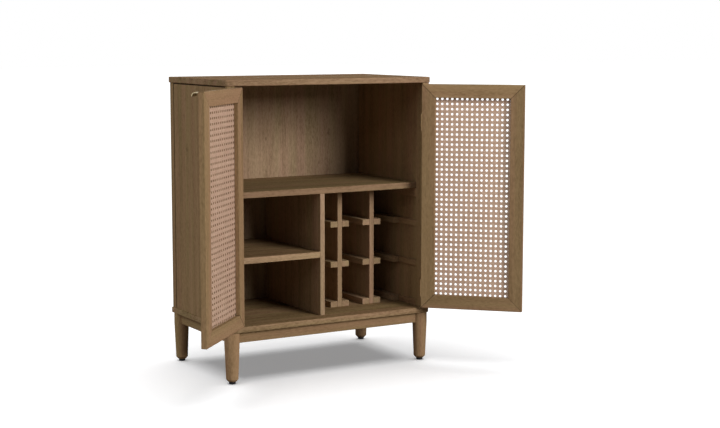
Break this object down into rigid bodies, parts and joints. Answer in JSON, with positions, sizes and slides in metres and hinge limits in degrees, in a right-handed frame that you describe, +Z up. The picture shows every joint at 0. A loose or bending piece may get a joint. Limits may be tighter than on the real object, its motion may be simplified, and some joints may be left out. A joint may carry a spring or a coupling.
{
  "type": "bar cabinet",
  "caption": "Wooden bar cabinet on turned legs, with two hinged cane-panelled doors standing open over shelves and a bottle rack.",
  "frame": {"origin": "centre of the bounding box on the floor, with both doors open as pictured", "axes": "+X to the cabinet's right as seen from the front, +Y from the front to the back, +Z up"},
  "size_m": [1.1952, 0.6994, 0.96],
  "materials": {
    "wood": "satin, fine straight grain",
    "cane": "matt woven cane",
    "hinges": "satin",
    "pulls": "satin",
    "glides": "matt black"
  },
  "bodies": {
    "carcass": {"top": "wood", "base_board": "wood", "left_side": "wood", "right_side": "wood", "back_panel": "wood", "main_shelf": "wood", "divider": "wood", "half_shelf": "wood", "rack_upright_1": "wood", "rack_upright_2": "wood", "divider_ledge_r1": "wood", "upright_1_ledge_l1": "wood", "upright_1_ledge_r1": "wood", "upright_2_ledge_l1": "wood", "upright_2_ledge_r1": "wood", "wall_ledge_l1": "wood", "divider_ledge_r2": "wood", "upright_1_ledge_l2": "wood", "upright_1_ledge_r2": "wood", "upright_2_ledge_l2": "wood", "upright_2_ledge_r2": "wood", "wall_ledge_l2": "wood", "divider_ledge_r3": "wood", "upright_1_ledge_l3": "wood", "upright_1_ledge_r3": "wood", "upright_2_ledge_l3": "wood", "upright_2_ledge_r3": "wood", "wall_ledge_l3": "wood", "front_left_leg": "wood", "front_right_leg": "wood", "rear_left_leg": "wood", "rear_right_leg": "wood", "front_apron": "wood", "rear_apron": "wood", "left_apron": "wood", "right_apron": "wood", "left_upper_frame_leaf": "hinges", "left_lower_frame_leaf": "hinges", "right_upper_frame_leaf": "hinges", "right_lower_frame_leaf": "hinges"},
    "left_door": {"left_door_hinge_stile": "wood", "left_door_free_stile": "wood", "left_door_top_rail": "wood", "left_door_bottom_rail": "wood", "left_door_cane": "cane", "left_door_pull": "pulls", "left_upper_door_leaf": "hinges", "left_lower_door_leaf": "hinges"},
    "right_door": {"right_door_hinge_stile": "wood", "right_door_free_stile": "wood", "right_door_top_rail": "wood", "right_door_bottom_rail": "wood", "right_door_cane": "cane", "right_door_pull": "pulls", "right_upper_door_leaf": "hinges", "right_lower_door_leaf": "hinges"},
    "front_left_glide": {"front_left_glide": "glides"},
    "front_right_glide": {"front_right_glide": "glides"},
    "rear_left_glide": {"rear_left_glide": "glides"},
    "rear_right_glide": {"rear_right_glide": "glides"}
  },
  "joints": [
    {"name": "left_door_swing", "type": "hinge", "parent": "carcass", "child": "left_door", "pos_m": [-0.3439, -0.09258, 0.56], "axis": [0, 0, 1], "range_deg": [-40, 135]},
    {"name": "right_door_swing", "type": "hinge", "parent": "carcass", "child": "right_door", "pos_m": [0.3439, -0.09258, 0.56], "axis": [0, 0, 1], "range_deg": [-135, 40]},
    {"name": "front_left_glide_height", "type": "slide", "parent": "carcass", "child": "front_left_glide", "axis": [0, 0, 1], "range_m": [-0.01, 0]},
    {"name": "front_right_glide_height", "type": "slide", "parent": "carcass", "child": "front_right_glide", "axis": [0, 0, 1], "range_m": [-0.01, 0]},
    {"name": "rear_left_glide_height", "type": "slide", "parent": "carcass", "child": "rear_left_glide", "axis": [0, 0, 1], "range_m": [-0.01, 0]},
    {"name": "rear_right_glide_height", "type": "slide", "parent": "carcass", "child": "rear_right_glide", "axis": [0, 0, 1], "range_m": [-0.01, 0]}
  ]
}
